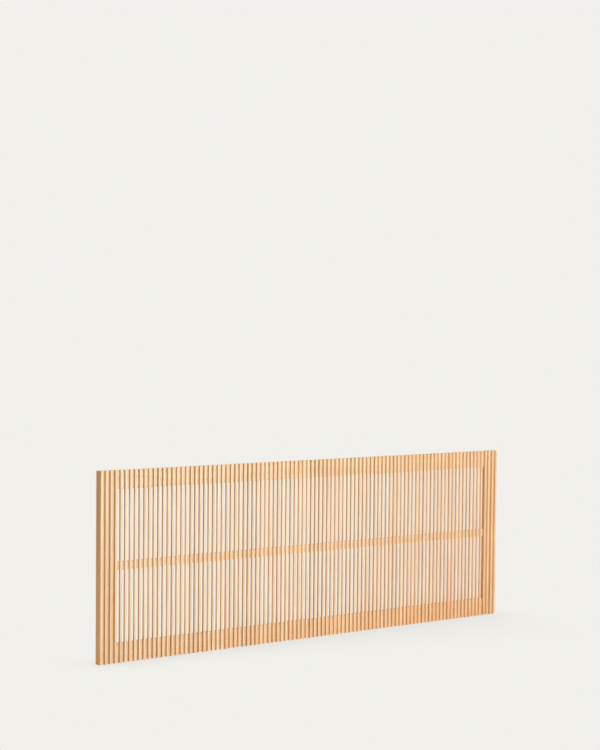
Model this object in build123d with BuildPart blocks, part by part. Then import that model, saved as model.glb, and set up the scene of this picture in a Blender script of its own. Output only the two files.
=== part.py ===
from build123d import *
import os

os.makedirs("parts", exist_ok=True)

# A slatted headboard panel, in millimetres. X runs along its width, the slats
# face -Y, +Z is up. The origin is under the middle of the panel, at its foot,
# halfway through its thickness.

# Overall panel
panel_width = 1770
panel_height = 600

# Slats: strips a little deeper than wide, with softened long edges. A few cover
# each stile. The gap beside these is a little wider than the others, all alike.
slat_count = 97
slat_width = 7
slat_depth = 8
slat_edge_chamfer = 0.5
slats_over_stile = 4
gap_beside_stile = 12.4
slats_per_group = 2

# Frame boards behind the slats. The middle rail lies a little over half height.
board_depth = 18
stile_width = 61
bottom_rail_width = 61
top_rail_width = 59
middle_rail_width = 25
middle_rail_lift = 2
board_edge_radius = 1.5

# Loose tenons across the joints between rails and stiles
tenon_thickness = 8
tenon_length = 45
corner_tenon_width = 40
middle_tenon_width = 14
tenon_fit = 0.05
tenon_end_gap = 1

# Keyhole hangers, let in flush in the back of the top rail
hanger_inset = 285
hanger_length = 46
hanger_width = 16
hanger_thickness = 2
hanger_fit = 0.1
keyhole_entry_radius = 4.5
keyhole_slot_width = 4.6
keyhole_run = 9
head_room = 0.75
head_pocket_depth = 7

# Countersunk screws that hold the hangers
screw_shank_radius = 1.5
screw_head_radius = 2.9
screw_length = 12
screw_point_length = 3
screw_fit = 0.05
screw_end_gap = 1
countersink_angle = 90
cross_length = 3.2
cross_width = 0.8
cross_depth = 1

# Places that follow from the sizes
panel_depth = slat_depth + board_depth
back_y = panel_depth / 2
board_y = back_y - board_depth / 2
slat_y = slat_depth / 2 - panel_depth / 2
wide_gap_count = 2
gaps_width = panel_width - slat_count * slat_width
slat_gap = (gaps_width - wide_gap_count * gap_beside_stile) / (slat_count - 1 - wide_gap_count)
rail_length = panel_width - 2 * stile_width
joint_x = rail_length / 2
stile_x = joint_x + stile_width / 2
bottom_rail_z = bottom_rail_width / 2
middle_rail_z = panel_height / 2 + middle_rail_lift
top_rail_z = panel_height - top_rail_width / 2
mortise_thickness = tenon_thickness + 2 * tenon_fit
mortise_depth = tenon_length / 2 + tenon_end_gap
corner_mortise_width = corner_tenon_width + 2 * tenon_fit
middle_mortise_width = middle_tenon_width + 2 * tenon_fit
screw_offset = (hanger_length - hanger_width) / 2
screw_hole_radius = screw_shank_radius + screw_fit
screw_cone_height = screw_head_radius - screw_shank_radius
head_pocket_width = 2 * (keyhole_entry_radius + head_room)

# The joint faces at both ends of the rails, with local places given as (y, z)
left_joint = Plane(origin=(-joint_x, 0, 0), x_dir=(0, 1, 0), z_dir=(1, 0, 0))
right_joint = Plane(origin=(joint_x, 0, 0), x_dir=(0, 1, 0), z_dir=(1, 0, 0))

# Back face of the top rail, seen from behind with up kept up
rail_back = Plane(origin=(0, back_y, top_rail_z), x_dir=(-1, 0, 0), z_dir=(0, 1, 0))
hanger_x = panel_width / 2 - hanger_inset
hanger_places = [(-hanger_x, 0), (hanger_x, 0)]

# Stile: the upright board at each end, full height. The outer edges are
# rounded over, the inner edges stay square where the rails butt against them.
with BuildPart() as right_stile:
    with BuildSketch():
        with Locations((stile_x, board_y)):
            Rectangle(stile_width, board_depth)
    extrude(amount=panel_height)
    outer_face = faces().sort_by(Axis.X)[-1]
    end_edges = edges().filter_by(Axis.X)
    fillet(outer_face.edges() + end_edges, board_edge_radius)
    with BuildSketch(right_joint):
        with Locations((board_y, bottom_rail_z), (board_y, top_rail_z)):
            SlotOverall(corner_mortise_width, mortise_thickness, rotation=90)
        with Locations((board_y, middle_rail_z)):
            SlotOverall(middle_mortise_width, mortise_thickness, rotation=90)
    extrude(amount=mortise_depth, mode=Mode.SUBTRACT)

with BuildPart() as left_stile:
    mirror(right_stile.part, about=Plane.YZ)

# Bottom rail: between the stiles, with a blind mortise in each end
with BuildPart() as bottom_rail:
    with BuildSketch(left_joint):
        with Locations((board_y, bottom_rail_z)):
            RectangleRounded(board_depth, bottom_rail_width, board_edge_radius)
    extrude(amount=rail_length)
    with BuildSketch(left_joint, right_joint):
        with Locations((board_y, bottom_rail_z)):
            SlotOverall(corner_mortise_width, mortise_thickness, rotation=90)
    extrude(amount=mortise_depth, both=True, mode=Mode.SUBTRACT)

# Middle rail: narrower, joined in the same way
with BuildPart() as middle_rail:
    with BuildSketch(left_joint):
        with Locations((board_y, middle_rail_z)):
            RectangleRounded(board_depth, middle_rail_width, board_edge_radius)
    extrude(amount=rail_length)
    with BuildSketch(left_joint, right_joint):
        with Locations((board_y, middle_rail_z)):
            SlotOverall(middle_mortise_width, mortise_thickness, rotation=90)
    extrude(amount=mortise_depth, both=True, mode=Mode.SUBTRACT)

# Top rail: as the bottom one, and let in behind for the two hangers: a shallow
# seat for the plate, a deeper pocket for the head of the wall screw, and a
# pilot hole for each of the plate's own screws
with BuildPart() as top_rail:
    with BuildSketch(left_joint):
        with Locations((board_y, top_rail_z)):
            RectangleRounded(board_depth, top_rail_width, board_edge_radius)
    extrude(amount=rail_length)
    with BuildSketch(left_joint, right_joint):
        with Locations((board_y, top_rail_z)):
            SlotOverall(corner_mortise_width, mortise_thickness, rotation=90)
    extrude(amount=mortise_depth, both=True, mode=Mode.SUBTRACT)
    with BuildSketch(rail_back):
        with Locations(*hanger_places):
            SlotOverall(hanger_length + 2 * hanger_fit, hanger_width + 2 * hanger_fit, rotation=90)
    extrude(amount=-hanger_thickness, mode=Mode.SUBTRACT)
    with BuildSketch(rail_back.offset(-hanger_thickness)):
        with Locations(*hanger_places):
            SlotOverall(keyhole_run + head_pocket_width, head_pocket_width, rotation=90)
    extrude(amount=-head_pocket_depth, mode=Mode.SUBTRACT)
    with BuildSketch(rail_back):
        with Locations(*hanger_places):
            with Locations((0, -screw_offset), (0, screw_offset)):
                Circle(screw_hole_radius)
    extrude(amount=-screw_length - screw_end_gap, mode=Mode.SUBTRACT)

# Loose tenons: flat pegs with round edges, half in the rail, half in the stile
with BuildPart() as corner_tenons:
    with BuildSketch(left_joint, right_joint):
        with Locations((board_y, bottom_rail_z), (board_y, top_rail_z)):
            SlotOverall(corner_tenon_width, tenon_thickness, rotation=90)
    extrude(amount=tenon_length / 2, both=True)

with BuildPart() as middle_rail_tenons:
    with BuildSketch(left_joint, right_joint):
        with Locations((board_y, middle_rail_z)):
            SlotOverall(middle_tenon_width, tenon_thickness, rotation=90)
    extrude(amount=tenon_length / 2, both=True)

# Keyhole hanger: a steel plate with round ends. The screw head enters the round
# hole below, then the panel drops and the shank runs up the slot above it.
with BuildPart() as hanger_left:
    with BuildSketch(rail_back):
        with Locations(hanger_places[1]):
            SlotOverall(hanger_length, hanger_width, rotation=90)
            with Locations((0, -keyhole_run / 2)):
                Circle(keyhole_entry_radius, mode=Mode.SUBTRACT)
            SlotCenterToCenter(keyhole_run, keyhole_slot_width, rotation=90, mode=Mode.SUBTRACT)
    extrude(amount=-hanger_thickness)
    with Locations(rail_back):
        with Locations(hanger_places[1]):
            with Locations((0, -screw_offset), (0, screw_offset)):
                CounterSinkHole(
                    screw_hole_radius,
                    screw_head_radius + screw_fit,
                    counter_sink_angle=countersink_angle,
                )

with BuildPart() as hanger_right:
    mirror(hanger_left.part, about=Plane.YZ)

# Hanger screw: countersunk head with a cross recess, shank and point, head up
with BuildPart() as hanger_screw:
    with BuildSketch(Plane.XZ):
        with BuildLine():
            Polyline(
                (0, 0),
                (screw_head_radius, 0),
                (screw_shank_radius, -screw_cone_height),
                (screw_shank_radius, screw_point_length - screw_length),
                (0, -screw_length),
                close=True,
            )
        make_face()
    revolve(axis=Axis.Z)
    with BuildSketch():
        Rectangle(cross_length, cross_width)
        Rectangle(cross_width, cross_length)
    extrude(amount=-cross_depth, mode=Mode.SUBTRACT)

with BuildPart() as hanger_screws:
    with Locations(rail_back):
        with Locations(*hanger_places):
            with Locations((0, -screw_offset), (0, screw_offset)):
                add(hanger_screw.part)

frame_pieces = {
    "left_stile": left_stile,
    "right_stile": right_stile,
    "bottom_rail": bottom_rail,
    "middle_rail": middle_rail,
    "top_rail": top_rail,
    "corner_tenons": corner_tenons,
    "middle_rail_tenons": middle_rail_tenons,
    "hanger_left": hanger_left,
    "hanger_right": hanger_right,
    "hanger_screws": hanger_screws,
}
for name, piece in frame_pieces.items():
    piece.part.label = name
    export_step(piece.part, f"parts/{name}.step")

# Slats: full height, glued to the front of the boards, numbered from the left.
# The end ones lie flush with the outer edges of the stiles.
slat_spots = []
left_edge = -panel_width / 2
for number in range(slat_count):
    slat_spots.append((left_edge + slat_width / 2, slat_y))
    beside_stile = number + 1 in (slats_over_stile, slat_count - slats_over_stile)
    left_edge += slat_width + (gap_beside_stile if beside_stile else slat_gap)

for first in range(0, slat_count, slats_per_group):
    group = range(first, min(first + slats_per_group, slat_count))
    with BuildPart() as slats:
        with BuildSketch():
            with Locations(*[slat_spots[number] for number in group]):
                Rectangle(slat_width, slat_depth)
            chamfer(vertices(), slat_edge_chamfer)
        extrude(amount=panel_height)
    name = "slat_" + "_".join(f"{number + 1:02d}" for number in group)
    slats.part.label = name
    export_step(slats.part, f"parts/{name}.step")
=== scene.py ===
import math
import random

import bpy
from mathutils import Matrix, Vector


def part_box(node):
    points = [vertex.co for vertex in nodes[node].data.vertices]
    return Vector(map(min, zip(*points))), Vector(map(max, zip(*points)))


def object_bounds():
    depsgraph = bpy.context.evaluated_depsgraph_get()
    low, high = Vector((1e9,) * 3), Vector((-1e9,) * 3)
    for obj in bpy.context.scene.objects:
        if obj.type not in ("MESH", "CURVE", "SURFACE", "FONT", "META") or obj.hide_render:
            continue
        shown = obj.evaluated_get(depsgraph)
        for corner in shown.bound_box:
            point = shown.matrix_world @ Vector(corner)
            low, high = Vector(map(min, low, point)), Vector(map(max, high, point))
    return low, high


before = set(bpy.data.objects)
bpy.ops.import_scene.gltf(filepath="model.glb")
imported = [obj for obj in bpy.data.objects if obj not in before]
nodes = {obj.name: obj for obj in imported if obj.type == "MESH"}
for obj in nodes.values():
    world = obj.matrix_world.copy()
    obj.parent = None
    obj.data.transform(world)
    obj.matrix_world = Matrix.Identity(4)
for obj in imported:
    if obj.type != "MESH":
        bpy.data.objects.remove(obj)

cad_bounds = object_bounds()


# The frame boards: two stiles and three rails of solid beech, planed, sanded and
# finished with a clear matt oil. The grain runs along each board, and each one
# was sawn from another plank, so their rings and their tone differ.

class Shade:
    """One output of a shader node, which can stand in sums and products."""

    def __init__(self, tree, socket=None):
        self.tree = tree
        self.socket = socket

    def node(self, kind, settings, inputs, output=0):
        """Adds a node: first its settings, then the values or links of its sockets."""
        made = self.tree.nodes.new(kind)
        for name, value in settings.items():
            setattr(made, name, value)
        for name, value in inputs.items():
            if isinstance(value, Shade):
                self.tree.links.new(value.socket, made.inputs[name])
            else:
                made.inputs[name].default_value = value
        return Shade(self.tree, made.outputs[output])

    def math(self, operation, *values):
        """A Math node's result, of numbers or of other Shades."""
        return self.node("ShaderNodeMath", {"operation": operation}, dict(enumerate(values)))

    def __add__(self, other):
        return self.math("ADD", self, other)

    __radd__ = __add__

    def __sub__(self, other):
        return self.math("SUBTRACT", self, other)

    def __rsub__(self, other):
        return self.math("SUBTRACT", other, self)

    def __mul__(self, other):
        return self.math("MULTIPLY", self, other)

    __rmul__ = __mul__

    def __truediv__(self, other):
        return self.math("DIVIDE", self, other)

    def __pow__(self, other):
        return self.math("POWER", self, other)

    def __gt__(self, other):
        return self.math("GREATER_THAN", self, other)

    def __abs__(self):
        return self.math("ABSOLUTE", self)

    def part(self, axis):
        """The X, Y or Z of a vector."""
        return self.node("ShaderNodeSeparateXYZ", {}, {0: self}, axis)

    def rise(self, low, high):
        """0 below low, 1 above high, and a smooth step between them."""
        limits = {"Value": self, "From Min": low, "From Max": high}
        return self.node("ShaderNodeMapRange", {"interpolation_type": "SMOOTHSTEP"}, limits)

    def mix(self, amount, first, second, blend="MIX"):
        """The first colour with an amount of the second in it, or multiplied by it."""
        # A Mix node takes its colours in sockets 6 and 7 and gives one in socket 2.
        settings = {"data_type": "RGBA", "blend_type": blend}
        return self.node("ShaderNodeMix", settings, {0: amount, 6: first, 7: second}, 2)

    def cloud(self, sizes, places, seed):
        """Noise from 0 to 1 whose blobs are about as long as sizes, in metres, each way."""
        spots = [place / size for place, size in zip(places, sizes)]
        vector = self.node("ShaderNodeCombineXYZ", {}, dict(enumerate(spots)))
        inputs = {"Vector": vector, "W": seed, "Scale": 1, "Detail": 2}
        return self.node("ShaderNodeTexNoise", {"noise_dimensions": "4D"}, inputs)


def colour(red, green, blue):
    """A colour picked on a screen, from 0 to 255, as the linear values a shader takes."""
    parts = [value / 255 for value in (red, green, blue)]
    return (*[p / 12.92 if p <= 0.04045 else ((p + 0.055) / 1.055) ** 2.4 for p in parts], 1)


def start_material(name):
    """A new material, a Shade to add its nodes with, and the place of a point on the piece."""
    material = bpy.data.materials.new(name)
    material.use_nodes = True
    shade = Shade(material.node_tree)
    place = shade.node("ShaderNodeTexCoord", {}, {}, "Object")
    return material, shade, [place.part(axis) for axis in "XYZ"]


def finish_material(material, tint, roughness, height, depth, fixed):
    """Links what varies to the shader, and sets what is the same all over."""
    shader = material.node_tree.nodes["Principled BSDF"]
    bump = {"Strength": 1, "Distance": depth, "Height": height}
    relief = height.node("ShaderNodeBump", {}, bump, "Normal")
    for name, value in (("Base Color", tint), ("Roughness", roughness), ("Normal", relief)):
        material.node_tree.links.new(value.socket, shader.inputs[name])
    for name, value in fixed.items():
        shader.inputs[name].default_value = value


def dress(names, material):
    """Gives CAD pieces their material."""
    for name in names:
        nodes[name].material_slots[0].material = material


panel_low, panel_high = cad_bounds
panel_half = (panel_high.x - panel_low.x) / 2
panel_height = panel_high.z - panel_low.z
arris = 0.0005

pale_beech = colour(237, 214, 180)
honey_beech = colour(221, 186, 136)
rose_beech = colour(227, 190, 154)
late_wood = colour(196, 148, 98)
fleck_brown = colour(176, 122, 80)
end_grain = colour(196, 148, 104)
wood_gloss = {"Specular IOR Level": 0.3}

# The wood's colour is multiplied by these stains, some of them painted light or shade, so a part
# over 1 makes it lighter.
# The boards' faces turned to the panel's ends are darker, partly as sawn edges and partly as
# painted shade.
board_edge_stain_and_shade = (0.93, 0.61, 0.39, 1)
# Painted shade on the panel's two end faces, darkest at the top and lighter towards the foot.
end_painted_shade_top = (0.92, 0.63, 0.42, 1)
end_painted_shade_foot = (1.08, 0.74, 0.5, 1)
# Painted light: cooler and paler towards the panel's upper left, warmer towards its lower right.
painted_cool_light = (0.955, 1.03, 1.11, 1)
painted_warm_light = (1.06, 0.97, 0.88, 1)
# Faces turned up or down are darker, partly as end grain and partly as painted shade.
top_stain_and_shade = (0.68, 0.6, 0.5, 1)

# How far the painted light leans to the warm side in the middle of the panel, and how
# much more so from there to the right end, and from the top edge to the foot.
middle_warmth, right_warmth, low_warmth = 0.5, 0.29, 0.42

# The marks in beech: how wide, thick and long they are, in metres, and over how
# many seeds a chance from 0 to 1 spreads them, so that no two pieces are alike.
wander_size, wander_seeds, wander_reach = (0.05, 0.05, 0.5), 90, 0.012
streak_size, streak_seeds = (0.005, 0.005, 0.25), 70
cloud_size, cloud_seeds = (0.03, 0.03, 0.18), 50
fleck_size, fleck_seeds = (0.0006, 0.0006, 0.006), 30
pore_size, pore_seeds = (0.00025, 0.00025, 0.003), 20
late_start, late_end = 0.45, 0.95

# How much each mark counts in the colour, the roughness and the height.
cloud_share, tone_share = 0.4, 0.6
late_share, streak_share, fleck_share = 0.25, 0.2, 0.3
edge_share, end_share = 0.2, 0.5
oiled_roughness, edge_polish = 0.46, 0.08
streak_roughness, pore_roughness = 0.16, 0.1
pore_height, late_height, fleck_height = 0.6, 0.3, 0.5


def turned(shade, axis, low=0.6, high=0.9):
    """1 on the faces that are turned along an axis, either way."""
    normal = shade.node("ShaderNodeTexCoord", {}, {}, "Normal")
    return abs(normal.part(axis)).rise(low, high)


def painted_light_and_tops(shade, base, x, z):
    """Paints light on the wood, cooler and paler towards the panel's upper left and warmer
    towards its lower right, and darkens the faces that are turned up or down, partly as
    end grain and partly as painted shade."""
    warmth = middle_warmth + right_warmth * x / panel_half + low_warmth * (0.5 - z / panel_height)
    light_and_tops = shade.mix(warmth, painted_cool_light, painted_warm_light)
    light_and_tops = shade.mix(turned(shade, "Z"), light_and_tops, top_stain_and_shade)
    return shade.mix(1, base, light_and_tops, "MULTIPLY")


def with_painted_end_shade(shade, side_stain_and_shade, x, z):
    """The side stain and shade it is given, but on the panel's two end faces a painted shade that
    is darkest at the top and lighter towards the foot.
    """
    outermost = abs(x).rise(panel_half - 2 * arris, panel_half - arris)
    painted_end_shade = shade.mix(z / panel_height, end_painted_shade_foot, end_painted_shade_top)
    return shade.mix(outermost, side_stain_and_shade, painted_end_shade)


def beech(shade, across, thick, along, edge, chances, heart, ring_width, side_stain_and_shade):
    """The colour, roughness and height of planed beech. across and thick are metres
    from the middle of the piece, and along is metres along its grain. edge is 1 on its
    arrises. chances are four numbers from 0 to 1. heart is how far off the middle of
    the tree may lie. The last argument is the stain and painted shade of the faces turned to the
    panel's ends."""
    turn, reach, tone, blush = chances
    places = (across, thick, along)
    wander = shade.cloud(wander_size, places, tone * wander_seeds)
    middle_u = (turn - 0.5) * 2 * heart
    middle_v = (reach + 0.5) * heart
    radius = ((across - middle_u) ** 2 + (thick - middle_v) ** 2) ** 0.5 + wander * wander_reach
    rings = shade.math("FRACT", radius / ring_width)
    late = rings.rise(late_start, late_end) * (1 - rings.rise(late_end, 1))
    streaks = shade.cloud(streak_size, places, blush * streak_seeds)
    clouds = shade.cloud(cloud_size, places, turn * cloud_seeds)
    flecks = shade.cloud(fleck_size, places, reach * fleck_seeds).rise(0.6, 0.72)
    pores = shade.cloud(pore_size, places, tone * pore_seeds)
    base = shade.mix(blush, honey_beech, rose_beech)
    base = shade.mix(clouds.rise(0.3, 0.7) * cloud_share + tone * tone_share, base, pale_beech)
    base = shade.mix(late * late_share + streaks.rise(0.45, 0.75) * streak_share, base, late_wood)
    base = shade.mix(flecks * fleck_share, base, fleck_brown)
    base = shade.mix(edge * edge_share, base, pale_beech)
    base = shade.mix(turned(shade, "X", 0.75, 0.95), base, side_stain_and_shade, "MULTIPLY")
    roughness = oiled_roughness + streak_roughness * streaks + pore_roughness * pores
    roughness = roughness - edge_polish * edge
    height = pores * pore_height - late * late_height - flecks * fleck_height
    return base, roughness, height


board_names = ("left_stile", "right_stile", "bottom_rail", "middle_rail", "top_rail")
board_heart, board_ring = 0.09, 0.0042
board_edge = 0.0025
board_relief = 0.0001
first_seed = 201

for number, name in enumerate(board_names):
    low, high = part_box(name)
    middle, half = (low + high) / 2, (high - low) / 2
    upright = half.z > half.x
    material, shade, (x, y, z) = start_material(name + "_beech")
    across, along = (x - middle.x, z) if upright else (z - middle.z, x)
    half_across = half.x if upright else half.z
    thick = y - middle.y
    near_side = abs(across).rise(half_across - board_edge, half_across)
    near_face = abs(thick).rise(half.y - board_edge, half.y)
    edge = near_side * near_face
    dice = random.Random(first_seed + number)
    chances = [dice.random() for _ in range(4)]
    side_stain_and_shade = with_painted_end_shade(shade, board_edge_stain_and_shade, x, z)
    tint, roughness, height = beech(
        shade, across, thick, along, edge, chances, board_heart, board_ring, side_stain_and_shade
    )
    tint = shade.mix(turned(shade, "Z" if upright else "X") * end_share, tint, end_grain)
    tint = painted_light_and_tops(shade, tint, x, z)
    finish_material(material, tint, roughness, height, board_relief, wood_gloss)
    dress([name], material)


# The loose tenons: flat pegs of plain beech with rounded edges, left as they
# came from the planer. They are glued in mortises and out of sight.

pale_tenon = colour(214, 172, 128)
brown_tenon = colour(196, 150, 104)
fibre_size, fibre_seed = (0.004, 0.0008, 0.0008), 3
planed_roughness, fibre_roughness = 0.55, 0.2
tenon_relief = 0.0001

material, shade, places = start_material("tenon_beech")
fibres = shade.cloud(fibre_size, places, fibre_seed)
tint = shade.mix(fibres.rise(0.3, 0.7), pale_tenon, brown_tenon)
roughness = planed_roughness + fibre_roughness * fibres
finish_material(material, tint, roughness, fibres, tenon_relief, wood_gloss)
dress(["corner_tenons", "middle_rail_tenons"], material)


# The slats: thin strips of the same beech, their arrises just taken off,
# glued upright to the front of the boards. They are ripped from many planks and
# set in any order, so neighbours differ in tone from honey to rose.

slat_names = [name for name in nodes if name.startswith("slat_")]
slat_count = max(int(name[-2:]) for name in slat_names)
slats_over_stile = 4
first_low, second_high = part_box("slat_01_02")
last_low, last_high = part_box(f"slat_{slat_count}")
slat_width = last_high.x - last_low.x
slat_pitch = second_high.x - first_low.x - slat_width
slat_middle_y = (last_low.y + last_high.y) / 2
quarter_girth = (slat_width + last_high.y - last_low.y) / 2
# The gap beside each stile is a little wider than the others.
wide_gap_extra = (last_low.x - first_low.x - (slat_count - 1) * slat_pitch) / 2

slat_heart, slat_ring = 0.05, 0.0022
slat_relief = 0.00006
slat_seeds = (0.5, 111.5, 7958.5, 333.5, 9292.5)
# The slats' sides are darker than their fronts, partly as sawn faces and partly as painted shade,
# which is warm at the left and greyer at the right.
left_side_stain_and_shade = (0.97, 0.83, 0.69, 1)
right_side_stain_and_shade = (0.93, 0.87, 0.93, 1)
# Painted shade on the slats' sides where a board stands behind them.
left_corner_painted_shade = (0.84, 0.68, 0.53, 1)
right_corner_painted_shade = (0.93, 0.79, 0.65, 1)
dark_side = (0.85, 0.84, 0.83, 1)
light_side = (1.15, 1.16, 1.17, 1)
# How far the painted shade near the stiles and rails fades out.
corner_shade_fade = 0.004
rail_shade_fade = 0.05

material, shade, (x, y, z) = start_material("slat_beech")
number = shade.math("FLOOR", (x - first_low.x + (slat_pitch - slat_width) / 2) / slat_pitch)
wide_gaps = (number > slats_over_stile - 0.5) + (number > slat_count - slats_over_stile - 0.5)
across = x - first_low.x - slat_width / 2 - number * slat_pitch - wide_gaps * wide_gap_extra
thick = y - slat_middle_y
edge = (abs(across) + abs(thick)).rise(quarter_girth - 2 * arris, quarter_girth - arris)
*chances, wear = [
    shade.node("ShaderNodeTexWhiteNoise", {"noise_dimensions": "1D"}, {"W": number + seed}, "Value")
    for seed in slat_seeds
]
# Painted shade: the slats' sides are darker where a stile or the top or bottom rail stands behind
# them, fading out just beyond the rails.
stile_inner_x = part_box("right_stile")[0].x
painted_shade_mask = abs(x).rise(stile_inner_x - corner_shade_fade, stile_inner_x)
for rail in ("bottom_rail", "top_rail"):
    rail_low, rail_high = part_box(rail)
    above = z.rise(rail_low.z - rail_shade_fade, rail_low.z)
    below = 1 - z.rise(rail_high.z, rail_high.z + rail_shade_fade)
    painted_shade_mask = shade.math("MAXIMUM", painted_shade_mask, above * below)
# The sides go from warm at the left to greyer at the right, partly as stain and partly as painted
# shade, and some are darker than others.
rightness = x.rise(-panel_half, panel_half)
side_stain_and_shade = shade.mix(rightness, left_side_stain_and_shade, right_side_stain_and_shade)
corner_painted_shade = shade.mix(rightness, left_corner_painted_shade, right_corner_painted_shade)
side_stain_and_shade = shade.mix(painted_shade_mask, side_stain_and_shade, corner_painted_shade)
side_stain_and_shade = shade.mix(1, side_stain_and_shade, shade.mix(wear, dark_side, light_side), "MULTIPLY")
side_stain_and_shade = with_painted_end_shade(shade, side_stain_and_shade, x, z)
tint, roughness, height = beech(
    shade, across, thick, z, edge, chances, slat_heart, slat_ring, side_stain_and_shade
)
tint = shade.mix(turned(shade, "Z") * end_share, tint, end_grain)
tint = painted_light_and_tops(shade, tint, x, z)
finish_material(material, tint, roughness, height, slat_relief, wood_gloss)
dress(slat_names, material)


# The keyhole hangers and their screws: pressed steel plates and countersunk
# screws with bright zinc plating, let in flush behind the top rail. The plating
# is a little cloudy, and the screws are slightly duller than the plates.

blue_zinc = colour(172, 175, 181)
warm_zinc = colour(198, 197, 190)
grey_zinc = colour(150, 152, 156)
line_size, line_share = (0.00015, 0.00015, 0.02), 0.3
patch_size, patch_seed = (0.006, 0.006, 0.006), 8
plate_seed, screw_seed = 5, 17
bright_roughness, patch_roughness, line_roughness = 0.24, 0.16, 0.16
plate_dullness, screw_dullness = 0, 0.04
zinc_relief = 0.00002


def zinc_plate(name, seed, dullness):
    """Bright zinc on steel, with fine lines along the plate and cloudy patches."""
    material, shade, places = start_material(name)
    lines = shade.cloud(line_size, places, seed)
    patches = shade.cloud(patch_size, places, seed + patch_seed)
    tint = shade.mix(patches.rise(0.35, 0.65), blue_zinc, warm_zinc)
    tint = shade.mix(lines.rise(0.5, 0.8) * line_share, tint, grey_zinc)
    roughness = bright_roughness + patch_roughness * patches + line_roughness * lines + dullness
    finish_material(material, tint, roughness, lines, zinc_relief, {"Metallic": 1})
    return material


dress(["hanger_left", "hanger_right"], zinc_plate("plate_zinc", plate_seed, plate_dullness))
dress(["hanger_screws"], zinc_plate("screw_zinc", screw_seed, screw_dullness))


# The studio: a pale floor of paper that runs up into the same pale background. It
# is seen at its own colour, whatever light falls on it, apart from the soft shade
# at the panel's foot, which spreads further out near the panel's right end.

backdrop = colour(241, 240, 236)
shaded_floor = colour(216, 213, 207)
lit_paper = (0.8, 0.79, 0.77, 1)
left_reach, right_reach = 0.15, 0.6
shade_samples = 16
floor_half = 40


def looked_at(shade):
    """1 where a surface is seen by the camera, or in or through something else."""
    rays = [
        shade.node("ShaderNodeLightPath", {}, {}, ray)
        for ray in ("Is Camera Ray", "Is Glossy Ray", "Is Transmission Ray")
    ]
    return shade.math("MAXIMUM", shade.math("MAXIMUM", rays[0], rays[1]), rays[2])


floor_mesh = bpy.data.meshes.new("floor")
corners = [(-1, -1), (1, -1), (1, 1), (-1, 1)]
floor_mesh.from_pydata([(x * floor_half, y * floor_half, 0) for x, y in corners], [], [range(4)])
floor = bpy.data.objects.new("floor", floor_mesh)
bpy.context.scene.collection.objects.link(floor)
material = bpy.data.materials.new("floor_paper")
material.use_nodes = True
tree = material.node_tree
tree.nodes.clear()
shade = Shade(tree)
x = shade.node("ShaderNodeTexCoord", {}, {}, "Object").part("X")
rightness = x.rise(-panel_half, panel_half)
past_end = x.rise(panel_half - left_reach, panel_half + left_reach)
reach = left_reach + (right_reach - left_reach) * (rightness - past_end)
occlusion = {"samples": shade_samples}
openness = shade.node("ShaderNodeAmbientOcclusion", occlusion, {"Distance": reach}, "AO")
shown = shade.mix(openness, shaded_floor, backdrop)
paper = shade.node("ShaderNodeBsdfDiffuse", {}, {"Color": lit_paper})
glow = shade.node("ShaderNodeEmission", {}, {"Color": shown, "Strength": 1})
surface = shade.node("ShaderNodeMixShader", {}, {0: looked_at(shade), 1: paper, 2: glow})
tree.links.new(surface.socket, tree.nodes.new("ShaderNodeOutputMaterial").inputs["Surface"])
floor_mesh.materials.append(material)

white = (1, 1, 1, 1)
ambient_level = 0.17

world = bpy.data.worlds.new("studio")
bpy.context.scene.world = world
world.use_nodes = True
tree = world.node_tree
tree.nodes.clear()
shade = Shade(tree)
ambient = shade.node("ShaderNodeBackground", {}, {"Color": white, "Strength": ambient_level})
behind = shade.node("ShaderNodeBackground", {}, {"Color": backdrop, "Strength": 1})
both = shade.node("ShaderNodeMixShader", {}, {0: looked_at(shade), 1: ambient, 2: behind})
tree.links.new(both.socket, tree.nodes.new("ShaderNodeOutputWorld").inputs["Surface"])


# Four softboxes light the panel: the key lamp in front and above, a weak one at
# the left, and two behind it. They are aimed at half the panel's height.

left_aim = (-0.5, 0, 0.3)
middle_aim = (0, 0, 0.3)


def softbox(name, aim, azimuth, elevation, distance, size, level):
    """A square lamp turned towards aim. azimuth is degrees to the right of the panel's
    front, and a level of 1 shows a surface that faces it at its own colour."""
    lamp = bpy.data.lights.new(name, "AREA")
    lamp.shape = "SQUARE"
    lamp.size = size
    lamp.energy = level * (math.pi * distance) ** 2
    held = bpy.data.objects.new(name, lamp)
    bpy.context.scene.collection.objects.link(held)
    turn, rise = math.radians(azimuth), math.radians(elevation)
    rightwards, backwards = math.sin(turn) * math.cos(rise), -math.cos(turn) * math.cos(rise)
    out = Vector((rightwards, backwards, math.sin(rise)))
    held.location = Vector(aim) + distance * out
    held.rotation_euler = out.to_track_quat("Z", "Y").to_euler()


softbox("key", left_aim, azimuth=0, elevation=38, distance=4.5, size=1.6, level=0.94)
softbox("left", middle_aim, azimuth=-65, elevation=20, distance=5, size=3, level=0.15)
softbox("right_back", middle_aim, azimuth=140, elevation=40, distance=5, size=3, level=0.42)
softbox("back", middle_aim, azimuth=168, elevation=25, distance=6, size=1.2, level=0.35)


# The camera stands to the left of the panel and a little above it. Its film is
# shifted up a little, as the photo was cropped to show more of the wall than floor.

camera_place = (-4.3630, -4.8929, 1.0602)
camera_turn, camera_dip, camera_roll = -0.72080, 0.05236, 0.00996
focal_pixels = 1951.4
photo_height = 750
axis_row = 425
film = 36
farthest = 200

camera = bpy.data.cameras.new("camera")
camera.sensor_width = film
camera.lens = focal_pixels / photo_height * film
camera.shift_y = (axis_row - photo_height / 2) / photo_height
camera.clip_end = farthest
viewer = bpy.data.objects.new("camera", camera)
bpy.context.scene.collection.objects.link(viewer)
viewer.matrix_world = (
    Matrix.Translation(camera_place)
    @ Matrix.Rotation(camera_turn, 4, "Z")
    @ Matrix.Rotation(math.pi / 2 - camera_dip, 4, "X")
    @ Matrix.Rotation(camera_roll, 4, "Z")
)
bpy.context.scene.camera = viewer
bpy.context.scene.view_settings.view_transform = "Standard"
